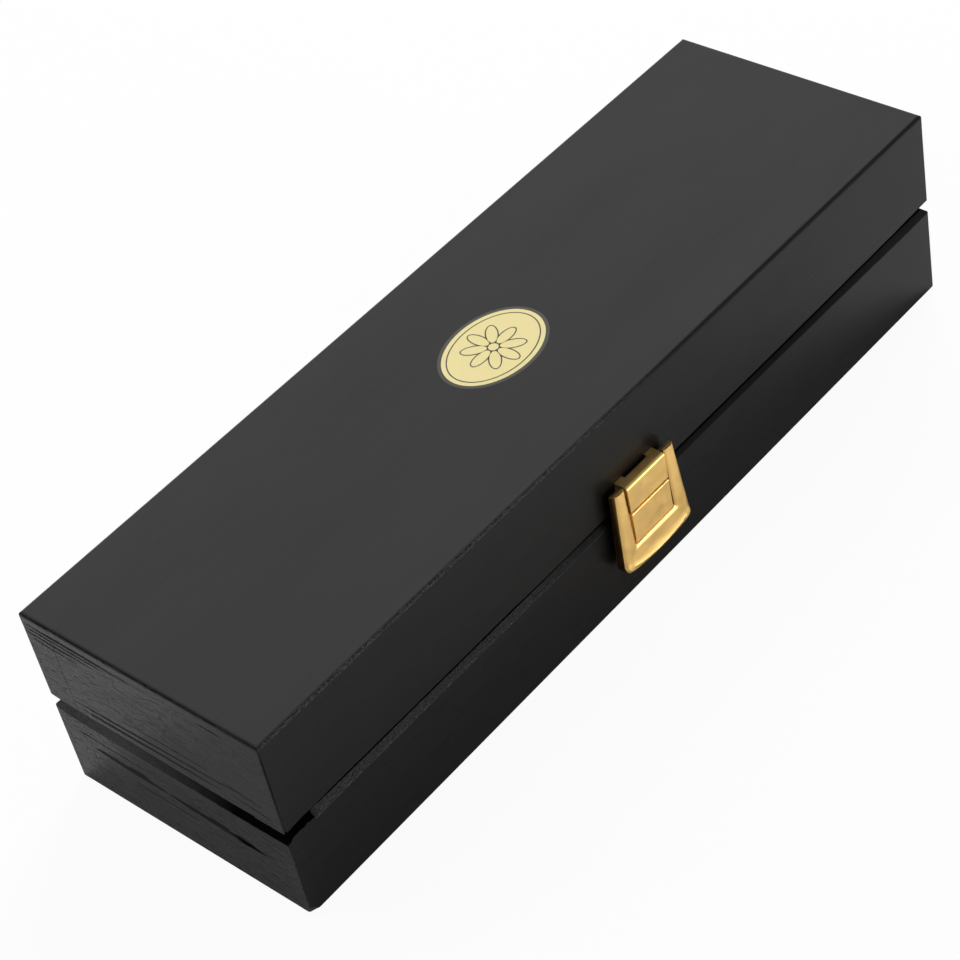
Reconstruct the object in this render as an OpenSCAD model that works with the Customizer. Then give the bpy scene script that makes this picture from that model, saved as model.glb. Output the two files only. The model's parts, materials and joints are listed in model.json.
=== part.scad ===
// Wooden presentation box for one fixed-blade knife, with a bevelled seam, let-in hinges and a snap hasp.
// Origin: centre of the underside. X runs along the box, the front with its hasp faces -Y, Z is up.

/* [Box] */
// Length of the box
box_l = 260; // [230:1:320]
// Width of the box, front to back
box_w = 80; // [76:1:110]
// Height of the base up to the rim where the lid meets it
base_h = 28.6; // [27:0.2:40]
// Height of the lid from that rim to the top face
lid_h = 30.6; // [28:0.2:40]
// Thickness of the side walls
wall_t = 10; // [9:0.5:12]
// Depth of the 45 degree bevel on both rims
bevel_d = 2.1; // [1.9:0.1:2.4]
// Thickness of the board that covers the lid
top_t = 3.5; // [2.5:0.1:5]
// Radius of that board's upper edges
top_r = 1.2; // [0.6:0.1:2]
// Thickness of the bottom board
bottom_t = 4; // [3:0.1:5]
// How far the bottom board is let into the walls
bottom_let = 5; // [3:0.5:6]
// Chamfer on the other outer edges
ease = 0.4; // [0.2:0.1:0.6]

/* [Tray] */
// How far the top of the tray lies below the rim
tray_drop = 3.6; // [2:0.1:6]
// Gap between the tray and the walls
tray_gap = 0.3; // [0.2:0.1:0.6]
// Foam left under the hollow
hollow_floor = 6; // [4:0.5:8]
// Foam left at each end of the hollow
hollow_end = 9; // [6:0.5:14]
// Width of the hollow at the handle
handle_w = 32; // [26:1:36]
// Length of the hollow's wide part
handle_l = 118; // [100:1:126]
// Width of the hollow at the blade
blade_w = 24; // [18:1:28]
// Radius of the finger hollows beside the handle
finger_r = 10.4; // [8:0.2:11.2]

/* [Lid pad] */
// Thickness of the card that the pad is mounted on
card_t = 2; // [1:0.1:3]
// Thickness of the pad at its edges
pad_edge = 3; // [2:0.1:4]
// Extra thickness of the pad at its middle
pad_crown = 4; // [2:0.1:5]
// Gap between the pad and the lid's walls
pad_gap = 0.8; // [0.5:0.1:1.5]

/* [Hinges] */
// Length of a hinge
hinge_l = 25; // [20:1:32]
// Distance from the end of the box to the middle of a hinge
hinge_in = 52; // [40:1:70]
// Width of a leaf, measured from the pin's axis
leaf_w = 7; // [6.5:0.1:7.5]
// Thickness of a leaf
leaf_t = 0.9; // [0.7:0.1:1.2]
// Gap between the closed leaves
leaf_gap = 0.1; // [0.1:0.05:0.2]
// Outer radius of the knuckles
knuckle_r = 1.5; // [1.3:0.05:1.6]
// Number of knuckles on a hinge
knuckles = 5; // [3:2:7]
// Gap between two knuckles
knuckle_gap = 0.2; // [0.15:0.05:0.4]
// How far the axis lies outside the foot of the bevels
axis_out = 0.3; // [0.2:0.05:0.4]
// Radius of the hinge pin
hinge_pin_r = 0.7; // [0.5:0.05:0.8]

/* [Hasp] */
// Height of the hasp's pivot above the rim
pivot_up = 7.95; // [7.5:0.05:9]
// Distance of the pivot in front of the box
pivot_out = 2.15; // [2.1:0.05:2.2]
// Opening between the two arms
arm_gap = 15.9; // [14:0.1:18]
// Width of an arm at its top
arm_w = 4.1; // [3.8:0.05:5]
// How much further out each side is at the low corners
flare = 1.3; // [0:0.05:1.5]
// Height of the arms above the pivot
arm_over = 1.4; // [1.2:0.05:1.4]
// How far the hasp reaches below the rim
hasp_drop = 18.7; // [17:0.1:20]
// Radius of the low corners
corner_r = 3; // [2:0.1:4]
// Height of the low corners above the lowest point
corner_up = 4.9; // [4.5:0.1:6]
// Height of the lower bar, from its lowest point to the window
bar_h = 9.3; // [8:0.1:9.8]
// Distance from the box's face to the hasp's front at the arm tops
front_top = 3.85; // [3.7:0.05:3.9]
// Distance from the box's face to the hasp's front at its lowest point
front_low = 5.1; // [4.8:0.05:5.6]
// Distance from the box's face to the hasp's back
back_out = 1.2; // [1.1:0.05:1.3]
// Radius that rounds the hasp's outer edges
outer_r = 1.7; // [0.8:0.1:1.8]
// How far that rounding runs up the front of the lower bar
low_round = 5; // [2:0.2:5.4]
// Chamfer along the hasp's back edges
back_ease = 0.6; // [0.3:0.1:0.7]
// Depth of the flat top of an arm
land_t = 1; // [0.8:0.05:1.2]
// How far an arm's top falls away behind that flat
land_drop = 1; // [0.5:0.1:1.2]
// Height of the seam between the two plates above the rim
seam_up = 0.6; // [0.4:0.05:0.9]
// Gap between the two plates
seam_gap = 0.3; // [0.25:0.05:0.4]
// Thickness of the two plates
plate_t = 0.85; // [0.7:0.05:0.9]
// Distance from the box's face to the front of the upper plate
cover_out = 4.1; // [3.8:0.05:4.2]
// Height of the upper plate above the pivot
cover_over = 1.35; // [1.2:0.05:1.4]
// Outer radius of the bend between its front and its flange
cover_bend = 0.9; // [0.5:0.1:1.2]
// Half the width of the relief in that flange
relief_half = 4.5; // [3:0.1:5]
// Depth of that relief
relief_deep = 1; // [0.6:0.1:1.4]
// Distance from the box's face to the front of the lower plate
insert_out = 4.25; // [4:0.05:4.3]
// Gap at each side of the upper plate
cover_gap = 0.45; // [0.2:0.05:0.5]
// Gap at each side of the lower plate
insert_gap = 0.45; // [0.3:0.05:0.6]
// Width of the ledge that the lower plate is pressed on
ledge_w = 1.35; // [1:0.05:1.6]
// Thickness of the upper plate's two cheeks
cheek_t = 1.2; // [1:0.05:1.4]
// How far those cheeks reach below the pivot
cheek_drop = 3.75; // [3:0.05:4.5]
// Radius of the stub pins that the arms swing on
stub_r = 0.55; // [0.45:0.05:0.6]
// How deep each stub pin sits in its arm
stub_in = 2.3; // [1.8:0.1:2.5]

/* [Keeper] */
// Width of the keeper plate
keeper_w = 12; // [10:0.5:13]
// Height of the keeper plate
keeper_h = 12.4; // [11:0.2:14]
// Thickness of the keeper plate and of the bracket
fitting_t = 0.8; // [0.6:0.05:0.8]
// Width of the spring
spring_w = 5; // [3:0.5:5.5]
// Thickness of the spring
spring_t = 0.3; // [0.2:0.05:0.3]
// Radius of the bead at the spring's end
bead_r = 0.4; // [0.3:0.05:0.45]
// How far the bead hooks over the hasp's rib
bead_hook = 0.35; // [0.2:0.05:0.4]
// Height of the rib on the hasp's ledge
rib_h = 0.8; // [0.6:0.1:1]
// Thickness of that rib
rib_t = 0.7; // [0.5:0.05:0.8]

/* [Screws] */
// Radius of a screw's countersunk head
head_r = 1.4; // [1.2:0.1:1.5]
// Radius of a screw's shank
shank_r = 0.75; // [0.6:0.05:0.8]
// Length of a screw
screw_l = 7; // [5:0.5:8]
// Width of the slot in a screw's head
slot_w = 0.35; // [0.3:0.05:0.5]

/* [Fits] */
// Radial gap round a turning pin
run_gap = 0.05; // [0.03:0.01:0.08]
// Gap round a fitting that is let into wood
fit_gap = 0.12; // [0.1:0.01:0.15]
// Radial gap round a screw, rivet or pressed pin
press_gap = 0.02; // [0.01:0.01:0.05]

/* [Hidden] */
$fn = 48;

box_h = base_h + lid_h;
walls_top = box_h - top_t;
inner_l = box_l - 2 * wall_t;
inner_w = box_w - 2 * wall_t;
front = -box_w / 2;

// Small cutter overrun, so that no cut ends on a face
over = 0.5;
arc_steps = 6;

tray_l = inner_l - 2 * tray_gap;
tray_w = inner_w - 2 * tray_gap;
tray_top = base_h - tray_drop;
hollow_low = bottom_t + hollow_floor;
hollow_half = tray_l / 2 - hollow_end;

axis_y = box_w / 2 - bevel_d + axis_out;
hinge_x = box_l / 2 - hinge_in;
pin_head_over = 0.3;
pin_head_r = hinge_pin_r + pin_head_over;
pin_head_t = 0.35;
knuckle_l = (hinge_l - (knuckles - 1) * knuckle_gap) / knuckles;
leaf_edge = knuckle_r + knuckle_gap;
leaf_screw_in = 4.5;
leaf_screw_x = hinge_l / 2 - leaf_screw_in;
leaf_screw_y = -(leaf_w + leaf_edge) / 2;

pivot_z = base_h + pivot_up;
pivot_y = front - pivot_out;
arm_top = pivot_z + arm_over;
hasp_low = base_h - hasp_drop;
corner_z = hasp_low + corner_up;
window_low = hasp_low + bar_h;
top_half = arm_gap / 2 + arm_w;
low_half = top_half + flare;
front_slope = (front_low - front_top) / (arm_top - hasp_low);
side_r = min(outer_r, front_top - back_out - back_ease - 0.1);

// The lower edge is one arc that runs smoothly into both corner arcs
corner_x = low_half - corner_r;
bow_r = (corner_x ^ 2 + corner_up ^ 2 - corner_r ^ 2) / (2 * (corner_up - corner_r));
bow_turn = atan2(corner_x, bow_r - corner_up);

// Rounding inside the window, at the arms and at the lower bar
window_side = 1.3;
window_sill = 1.3;
window_deep = 0.9;
window_corner_r = 0.7;

cover_half = arm_gap / 2 - cover_gap;
cheek_in = cover_half - cheek_t;
cover_low = base_h + seam_up + seam_gap / 2;
cover_top = pivot_z + cover_over;
cheek_low = pivot_z - cheek_drop;
stub_end = arm_gap / 2 + stub_in;

insert_half = arm_gap / 2 - insert_gap;
insert_top = base_h + seam_up - seam_gap / 2;
insert_low = window_low + 0.2;
insert_back = insert_out - plate_t;
ledge_half = arm_gap / 2 - ledge_w;
ledge_up = 1.3;
ledge_top = window_low + ledge_up;
ledge_back = front - back_out - 0.1;
rib_top = ledge_top + rib_h;

// Hollow in the back of the lower bar, and the walls round it
pocket_deep = 0.3;
bar_wall = 1;
bar_side = 2.4;
bar_foot = 2.8;

bracket_low = base_h + bevel_d + 0.2;
bracket_h = 3.7;
bracket_top = bracket_low + bracket_h;
bracket_screw_z = (bracket_low + bracket_top) / 2;
bracket_screw_x = 3;

keeper_top = base_h - bevel_d - 0.6;
keeper_low = keeper_top - keeper_h;
keeper_screw_x = keeper_w / 2 - 2;
keeper_screw_z = keeper_low + 3.5;
plate_corner = 1;

// The spring's bead hangs in front of the rib and just behind the lower plate
bead_out = front - ledge_back + rib_t + 0.1 + bead_r;
bead_z = rib_top - bead_hook + bead_r;
leaf_z = rib_top + 0.15 + spring_t / 2;
spring_bend_z = leaf_z + 0.65;
rivet_x = 1.4;
rivet_r = 0.4;
rivet_head_r = 0.7;
rivet_head_t = 0.25;
rivet_l = 4;
rivet_z = keeper_top - 1.4;

// Points along an arc, from angle a0 to a1
function arc(cx, cy, r, a0, a1, n = arc_steps) =
    [for (k = [0 : n]) let (a = a0 + (a1 - a0) * k / n) [cx + r * cos(a), cy + r * sin(a)]];

// Section of the base, half its width to each side
function base_section(half) = [
    [-half + ease, 0], [half - ease, 0], [half, ease],
    [half, base_h - bevel_d], [half - bevel_d, base_h],
    [-half + bevel_d, base_h], [-half, base_h - bevel_d], [-half, ease]];

// Section of the lid's walls
function lid_section(half) = [
    [-half + bevel_d, base_h], [half - bevel_d, base_h], [half, base_h + bevel_d],
    [half, walls_top], [-half, walls_top], [-half, base_h + bevel_d]];

// Section of the lid's top board, with round upper edges
function board_section(half) = concat(
    [[-half, walls_top], [half, walls_top]],
    arc(half - top_r, box_h - top_r, top_r, 0, 90),
    arc(-half + top_r, box_h - top_r, top_r, 90, 180));

// Outline of the box seen from above, with eased corners
function plan_outline(x, y) = [
    [-x + ease, -y], [x - ease, -y], [x, -y + ease], [x, y - ease],
    [x - ease, y], [-x + ease, y], [-x, y - ease], [-x, -y + ease]];

// Lower edge of the hasp seen from the front
low_edge = concat(
    arc(-corner_x, corner_z, corner_r, 180, 270 - bow_turn),
    arc(0, hasp_low + bow_r, bow_r, 270 - bow_turn, 270 + bow_turn, 2 * arc_steps),
    arc(corner_x, corner_z, corner_r, 270 + bow_turn, 360));

// Outline of the hasp seen from the front, drawn in by i at its sides and raised by j at its lowest point
function hasp_outline(i = 0, j = 0) = concat(
    [for (p = low_edge) [p[0] * (1 - i / low_half), p[1] + j * (window_low - p[1]) / bar_h]],
    [[top_half - i, arm_top], [-top_half + i, arm_top]]);

// A section in Y and Z, run along X
module along_x(l) {
    translate([-l / 2, 0, 0])
        rotate([90, 0, 90])
            linear_extrude(l)
                children();
}

// A section in X and Z, run along Y
module along_y(l) {
    translate([0, l / 2, 0])
        rotate([90, 0, 0])
            linear_extrude(l)
                children();
}

// A solid of the box with one section on all four sides, so that its bevels mitre at the corners
module mitred_body(long_section, short_section) {
    intersection() {
        along_x(box_l + 2 * over) polygon(short_section);
        along_y(box_w + 2 * over) polygon(long_section);
        translate([0, 0, -over])
            linear_extrude(box_h + 2 * over)
                polygon(plan_outline(box_l / 2, box_w / 2));
    }
}

// Space of one long wall: side is -1 at the front and 1 at the back
module long_wall_space(side) {
    translate([-box_l / 2 - over, side > 0 ? box_w / 2 - wall_t : front - over, -over])
        cube([box_l + 2 * over, wall_t + over, box_h + 2 * over]);
}

// Space of one end wall between the long walls: side is -1 at the left and 1 at the right
module end_wall_space(side) {
    translate([side > 0 ? box_l / 2 - wall_t : -box_l / 2 - over, -inner_w / 2, -over])
        cube([wall_t + over, inner_w, box_h + 2 * over]);
}

module bottom_board_space(drop = 0) {
    x = inner_l / 2 + bottom_let;
    y = inner_w / 2 + bottom_let;
    translate([-x, -y, -drop])
        cube([2 * x, 2 * y, bottom_t + drop]);
}

// Countersunk wood screw, its head flush with z = 0 and its point down
module screw() {
    cone_h = head_r - shank_r;
    difference() {
        union() {
            translate([0, 0, -cone_h])
                cylinder(h = cone_h, r1 = shank_r, r2 = head_r);
            translate([0, 0, -screw_l + shank_r])
                cylinder(h = screw_l - shank_r - cone_h, r = shank_r);
            translate([0, 0, -screw_l])
                cylinder(h = shank_r, r1 = 0.1, r2 = shank_r);
        }
        translate([-head_r - over, -slot_w / 2, -cone_h / 2])
            cube([2 * head_r + 2 * over, slot_w, cone_h]);
    }
}

// Hole for that screw, through a plate and into the wood
module screw_hole() {
    r = head_r + press_gap;
    s = shank_r + press_gap;
    translate([0, 0, -(r - s)])
        cylinder(h = r - s, r1 = s, r2 = r);
    translate([0, 0, -screw_l - press_gap])
        cylinder(h = screw_l, r = s);
    cylinder(h = over, r = r);
}

module at_hinge(side) {
    translate([side * hinge_x, axis_y, base_h])
        children();
}

// Places of the two screws of one leaf: up is -1 for the base leaf and 1 for the lid leaf
module leaf_screws(up) {
    for (x = [-leaf_screw_x, leaf_screw_x])
        translate([x, leaf_screw_y, up * leaf_gap / 2])
            rotate([up > 0 ? 180 : 0, 0, 0])
                children();
}

// What a hinge needs cut out of both back walls
module hinge_seat() {
    barrel_l = hinge_l + 2 * pin_head_t + 2 * fit_gap;
    leaf_deep = leaf_t + leaf_gap / 2;
    translate([-barrel_l / 2, 0, 0])
        rotate([0, 90, 0])
            cylinder(h = barrel_l, r = knuckle_r + fit_gap);
    translate([-hinge_l / 2 - fit_gap, -leaf_w - fit_gap, -leaf_deep])
        cube([hinge_l + 2 * fit_gap, leaf_w + fit_gap, 2 * leaf_deep]);
    for (up = [-1, 1])
        leaf_screws(up) screw_hole();
}

// One leaf with its own knuckles: first is the number of its first knuckle
module hinge_leaf(up, first) {
    z = up > 0 ? leaf_gap / 2 : -leaf_gap / 2 - leaf_t;
    color("goldenrod")
        difference() {
            union() {
                translate([-hinge_l / 2, -leaf_w, z])
                    cube([hinge_l, leaf_w - leaf_edge, leaf_t]);
                for (k = [first : 2 : knuckles - 1])
                    translate([-hinge_l / 2 + k * (knuckle_l + knuckle_gap), 0, 0]) {
                        translate([0, -leaf_edge, z])
                            cube([knuckle_l, leaf_edge, leaf_t]);
                        rotate([0, 90, 0])
                            cylinder(h = knuckle_l, r = knuckle_r);
                    }
            }
            translate([-hinge_l / 2 - over, 0, 0])
                rotate([0, 90, 0])
                    cylinder(h = hinge_l + 2 * over, r = hinge_pin_r + run_gap);
            leaf_screws(up) screw_hole();
        }
}

// Pin with a closed head at each end
module hinge_pin() {
    color("darkgoldenrod")
        rotate([0, 90, 0]) {
            translate([0, 0, -hinge_l / 2])
                cylinder(h = hinge_l, r = hinge_pin_r);
            for (z = [-hinge_l / 2 - pin_head_t, hinge_l / 2])
                translate([0, 0, z])
                    cylinder(h = pin_head_t, r = pin_head_r);
        }
}

// Places of the screws of the keeper plate and of the bracket, their heads out of the box
module on_front(x, z, out) {
    translate([x, front - out, z])
        rotate([90, 0, 0])
            children();
}

module keeper_screw_places() {
    for (x = [-keeper_screw_x, keeper_screw_x])
        on_front(x, keeper_screw_z, fitting_t) children();
}

module rivet_places() {
    for (x = [-rivet_x, rivet_x])
        on_front(x, rivet_z, fitting_t + spring_t) children();
}

module bracket_screw_places() {
    for (x = [-bracket_screw_x, bracket_screw_x])
        on_front(x, bracket_screw_z, fitting_t) children();
}

module rivet_hole() {
    translate([0, 0, -rivet_l - press_gap])
        cylinder(h = rivet_l + over, r = rivet_r + press_gap);
}

module base_long_wall(side) {
    difference() {
        intersection() {
            mitred_body(base_section(box_l / 2), base_section(box_w / 2));
            long_wall_space(side);
        }
        bottom_board_space(over);
    }
}

module base_front_wall() {
    color([0.14, 0.14, 0.14])
        difference() {
            base_long_wall(-1);
            keeper_screw_places() screw_hole();
            rivet_places() rivet_hole();
        }
}

module base_back_wall() {
    color([0.14, 0.14, 0.14])
        difference() {
            base_long_wall(1);
            for (side = [-1, 1])
                at_hinge(side) hinge_seat();
        }
}

module base_end(side) {
    color([0.17, 0.17, 0.17])
        difference() {
            intersection() {
                mitred_body(base_section(box_l / 2), base_section(box_w / 2));
                end_wall_space(side);
            }
            bottom_board_space(over);
        }
}

module base_left_end() {
    base_end(-1);
}

module base_right_end() {
    base_end(1);
}

module base_bottom_board() {
    color([0.2, 0.18, 0.16])
        bottom_board_space();
}

// A slot with round ends, cut down from the tray's top
module round_slot(x0, x1, w) {
    for (x = [x0 + w / 2, x1 - w / 2])
        translate([x, 0, hollow_low])
            cylinder(h = base_h, r = w / 2);
    translate([x0 + w / 2, -w / 2, hollow_low])
        cube([x1 - x0 - w, w, base_h]);
}

// Foam tray with a hollow for the handle at the left and the blade at the right
module tray_insert() {
    handle_x = -hollow_half + handle_l / 2;
    color([0.1, 0.1, 0.12])
        difference() {
            translate([-tray_l / 2, -tray_w / 2, bottom_t])
                cube([tray_l, tray_w, tray_top - bottom_t]);
            round_slot(-hollow_half, -hollow_half + handle_l, handle_w);
            round_slot(-hollow_half + handle_l - handle_w, hollow_half, blade_w);
            for (side = [-1, 1])
                translate([handle_x, side * handle_w / 2, hollow_low])
                    cylinder(h = base_h, r = finger_r);
        }
}

module left_hinge_base_leaf() {
    at_hinge(-1) hinge_leaf(-1, 0);
}

module right_hinge_base_leaf() {
    at_hinge(1) hinge_leaf(-1, 0);
}

module left_hinge_lid_leaf() {
    at_hinge(-1) hinge_leaf(1, 1);
}

module right_hinge_lid_leaf() {
    at_hinge(1) hinge_leaf(1, 1);
}

module left_hinge_pin() {
    at_hinge(-1) hinge_pin();
}

module right_hinge_pin() {
    at_hinge(1) hinge_pin();
}

module base_hinge_screws() {
    color("gold")
        for (side = [-1, 1])
            at_hinge(side) leaf_screws(-1) screw();
}

module lid_hinge_screws() {
    color("gold")
        for (side = [-1, 1])
            at_hinge(side) leaf_screws(1) screw();
}

// Flat plate with round corners on the front face, its back on the wood
module front_plate(half, low, high, t) {
    c = plate_corner;
    translate([0, front - t / 2, 0])
        along_y(t)
            polygon(concat(
                arc(-half + c, low + c, c, 180, 270), arc(half - c, low + c, c, 270, 360),
                arc(half - c, high - c, c, 0, 90), arc(-half + c, high - c, c, 90, 180)));
}

module keeper_plate() {
    color("goldenrod")
        difference() {
            front_plate(keeper_w / 2, keeper_low, keeper_top, fitting_t);
            keeper_screw_places() screw_hole();
            rivet_places() rivet_hole();
        }
}

// Strip that runs down the keeper plate, turns outwards and ends in a bead over the hasp's rib
module keeper_spring() {
    root = front - fitting_t;
    t = spring_t;
    bend = 0.6;
    color("peru")
        difference() {
            along_x(spring_w) {
                polygon(concat(
                    [[root, keeper_top - 0.2], [root - t, keeper_top - 0.2]],
                    arc(root - t - bend, spring_bend_z + bend / 2, bend, 0, -90),
                    [[front - bead_out, leaf_z + t / 2 - 0.1], [front - bead_out, leaf_z - t / 2 - 0.1]],
                    arc(root - t - bend, spring_bend_z + bend / 2, bend + t, -90, 0)));
                translate([front - bead_out, bead_z])
                    circle(r = bead_r);
            }
            rivet_places() rivet_hole();
        }
}

module keeper_rivets() {
    color("gold")
        rivet_places() {
            cylinder(h = rivet_head_t, r1 = rivet_head_r, r2 = rivet_head_r * 0.7);
            translate([0, 0, -rivet_l])
                cylinder(h = rivet_l, r = rivet_r);
        }
}

module keeper_screws() {
    color("gold")
        keeper_screw_places() screw();
}

module lid_top_board() {
    color([0.16, 0.16, 0.16])
        mitred_body(board_section(box_l / 2), board_section(box_w / 2));
}

module lid_long_wall(side) {
    intersection() {
        mitred_body(lid_section(box_l / 2), lid_section(box_w / 2));
        long_wall_space(side);
    }
}

module lid_front_wall() {
    color([0.14, 0.14, 0.14])
        difference() {
            lid_long_wall(-1);
            bracket_screw_places() screw_hole();
        }
}

module lid_back_wall() {
    color([0.14, 0.14, 0.14])
        difference() {
            lid_long_wall(1);
            for (side = [-1, 1])
                at_hinge(side) hinge_seat();
        }
}

module lid_end(side) {
    color([0.17, 0.17, 0.17])
        intersection() {
            mitred_body(lid_section(box_l / 2), lid_section(box_w / 2));
            end_wall_space(side);
        }
}

module lid_left_end() {
    lid_end(-1);
}

module lid_right_end() {
    lid_end(1);
}

module lid_pad_card() {
    color([0.75, 0.7, 0.6])
        translate([-inner_l / 2 + pad_gap, -inner_w / 2 + pad_gap, walls_top - card_t])
            cube([inner_l - 2 * pad_gap, inner_w - 2 * pad_gap, card_t]);
}

// Section of the pad: flat on its card, straight at its edge and crowned below
function pad_section(half) =
    let (
        r = (half ^ 2 + pad_crown ^ 2) / (2 * pad_crown),
        turn = asin(half / r),
        high = walls_top - card_t,
        low = high - pad_edge - pad_crown)
    concat(arc(0, low + r, r, 270 - turn, 270 + turn, 2 * arc_steps), [[half, high], [-half, high]]);

module lid_pad() {
    x = inner_l / 2 - pad_gap;
    y = inner_w / 2 - pad_gap;
    color([0.1, 0.1, 0.12])
        intersection() {
            along_x(2 * x) polygon(pad_section(y));
            along_y(2 * y) polygon(pad_section(x));
        }
}

// Back plate with a tab at each side that holds the cover plate's cheeks
module hasp_bracket() {
    tab_top = pivot_z - stub_r - 0.1;
    tab_out = cover_out - plate_t - 0.15;
    color("goldenrod")
        difference() {
            union() {
                translate([-cheek_in, front - fitting_t, bracket_low])
                    cube([2 * cheek_in, fitting_t, bracket_top - bracket_low]);
                for (x = [-cheek_in, cheek_in - fitting_t])
                    translate([x, front - tab_out, bracket_low])
                        cube([fitting_t, tab_out, tab_top - bracket_low]);
            }
            bracket_screw_places() screw_hole();
        }
}

module hasp_bracket_screws() {
    color("gold")
        bracket_screw_places() screw();
}

// Angle plate over the pivot, with a relief in its top flange and a bored cheek at each side
module hasp_cover_plate() {
    y = front - cover_out;
    nose = cover_bend;
    foot = 0.5;
    color("gold")
        difference() {
            union() {
                along_x(2 * cover_half)
                    polygon(concat(
                        [[front, cover_top - plate_t], [front, cover_top]],
                        arc(y + nose, cover_top - nose, nose, 90, 180),
                        arc(y + foot, cover_low + foot, foot, 180, 270),
                        [[y + plate_t, cover_low], [y + plate_t, cover_top - plate_t]]));
                for (x = [-cover_half, cheek_in])
                    translate([x, y + plate_t / 2, cheek_low])
                        cube([cheek_t, cover_out - plate_t / 2, cover_top - plate_t / 2 - cheek_low]);
            }
            translate([-relief_half, front - relief_deep, cover_top - plate_t - over])
                cube([2 * relief_half, relief_deep + over, plate_t + 2 * over]);
            translate([-cover_half - over, pivot_y, pivot_z])
                rotate([0, 90, 0])
                    cylinder(h = 2 * cover_half + 2 * over, r = stub_r + run_gap);
        }
}

// Outline of the window between the arms, grown by i at its sides and j at its sill
function window_outline(i, j) = let (x = arm_gap / 2 + i, z = window_low - j, c = window_corner_r) concat(
    arc(-x + c, z + c, c, 180, 270), arc(x - c, z + c, c, 270, 360),
    [[x, arm_top + 2], [-x, arm_top + 2]]);

// An outline laid in the hasp's leaning front plane, or a distance d behind it
function leaning(outline, d) =
    [for (p = outline) [p[0], front - front_top - front_slope * (arm_top - p[1]) + d, p[1]]];

// An outline laid in the upright plane at y
function upright(outline, y) = [for (p = outline) [p[0], y, p[1]]];

// Closed solid through a list of rings, from the front to the back
module loft(rings) {
    n = len(rings[0]);
    last = len(rings) - 1;
    polyhedron(
        points = [for (ring = rings) each ring],
        faces = concat(
            [[for (i = [n - 1 : -1 : 0]) i]],
            [for (k = [0 : last - 1], i = [0 : n - 1])
                let (a = k * n + i, b = k * n + (i + 1) % n)
                each [[a, b, b + n], [a, b + n, a + n]]],
            [[for (i = [0 : n - 1]) last * n + i]]));
}

// Shield-shaped frame with rounded edges, open at the top, its arms bored for the stub pins
module hasp_frame() {
    round_steps = 4;
    back_y = front - back_out;
    seat_y = front - insert_back;
    hold = 0.5;
    land_y = front - front_top + land_t;
    fall = land_drop / (back_y - land_y);
    pocket_half = low_half - bar_side;
    pocket_low = hasp_low + bar_foot;
    color("gold") {
        difference() {
            loft(concat(
                [for (k = [round_steps : -1 : 0])
                    let (a = 90 * k / round_steps, share = 1 - cos(a))
                    leaning(hasp_outline(side_r * share, low_round * share), side_r * (1 - sin(a)))],
                [upright(hasp_outline(), back_y - back_ease),
                    upright(hasp_outline(back_ease, back_ease), back_y)]));
            loft(concat(
                [leaning(window_outline(window_side, window_sill), -1)],
                [for (k = [0 : round_steps])
                    let (a = 90 * k / round_steps, share = 1 - sin(a))
                    leaning(window_outline(window_side * share, window_sill * share), window_deep * (1 - cos(a)))],
                [upright(window_outline(0, 0), front + over)]));
            translate([-pocket_half, seat_y - pocket_deep, pocket_low])
                cube([2 * pocket_half, insert_back + pocket_deep, window_low - bar_wall - pocket_low]);
            along_x(2 * low_half + 2 * over)
                polygon([
                    [land_y - over, arm_top + fall * over],
                    [back_y + over, arm_top - land_drop - fall * over],
                    [back_y + over, arm_top + fall * over]]);
            translate([-stub_end, pivot_y, pivot_z])
                rotate([0, 90, 0])
                    cylinder(h = 2 * stub_end, r = stub_r + press_gap);
        }
        for (x = [-arm_gap / 2 - hold, ledge_half])
            translate([x, seat_y, window_low])
                cube([ledge_w + hold, ledge_back - seat_y, insert_top - window_low]);
        translate([-arm_gap / 2 - hold, seat_y, window_low - hold])
            cube([arm_gap + 2 * hold, ledge_back - seat_y, ledge_up + hold]);
        translate([-spring_w / 2, ledge_back - rib_t, ledge_top - hold])
            cube([spring_w, rib_t, rib_h + hold]);
    }
}

// Lower plate, pressed on the frame's ledges, with a flange along its top
module hasp_insert_plate() {
    y = front - insert_out;
    lip = 0.25;
    seat_gap = 0.1;
    flange = insert_back - back_out - 2 * seat_gap;
    color("gold") {
        along_x(2 * insert_half)
            polygon([
                [y, insert_low], [y + plate_t, insert_low], [y + plate_t, insert_top],
                [y + lip, insert_top], [y, insert_top - lip]]);
        translate([-ledge_half + seat_gap, y + plate_t - seat_gap, insert_top - plate_t])
            cube([2 * (ledge_half - seat_gap), flange + seat_gap, plate_t]);
    }
}

// Two short pins, pressed into the arms and turning in the cover plate's cheeks
module hasp_stub_pins() {
    color("darkgoldenrod")
        for (x = [-stub_end, cheek_in])
            translate([x, pivot_y, pivot_z])
                rotate([0, 90, 0])
                    cylinder(h = stub_end - cheek_in, r = stub_r);
}

base_front_wall();
base_back_wall();
base_left_end();
base_right_end();
base_bottom_board();
tray_insert();
left_hinge_base_leaf();
right_hinge_base_leaf();
left_hinge_pin();
right_hinge_pin();
base_hinge_screws();
keeper_plate();
keeper_spring();
keeper_rivets();
keeper_screws();
lid_top_board();
lid_front_wall();
lid_back_wall();
lid_left_end();
lid_right_end();
lid_pad_card();
lid_pad();
left_hinge_lid_leaf();
right_hinge_lid_leaf();
lid_hinge_screws();
hasp_bracket();
hasp_bracket_screws();
hasp_cover_plate();
hasp_frame();
hasp_insert_plate();
hasp_stub_pins();
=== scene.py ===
"""Looks of a black painted wooden knife box with a gold snap hasp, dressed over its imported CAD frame.

Lengths are in millimetres where nothing else is said, and become metres where they reach Blender.
The frame is the CAD model's: origin at the centre of the underside, X along the box,
the hasp side faces -Y and Z is up.
"""

import json
import logging
import math
import random
from collections.abc import Callable, Iterator
from contextlib import contextmanager
from dataclasses import dataclass
from enum import Enum

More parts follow.
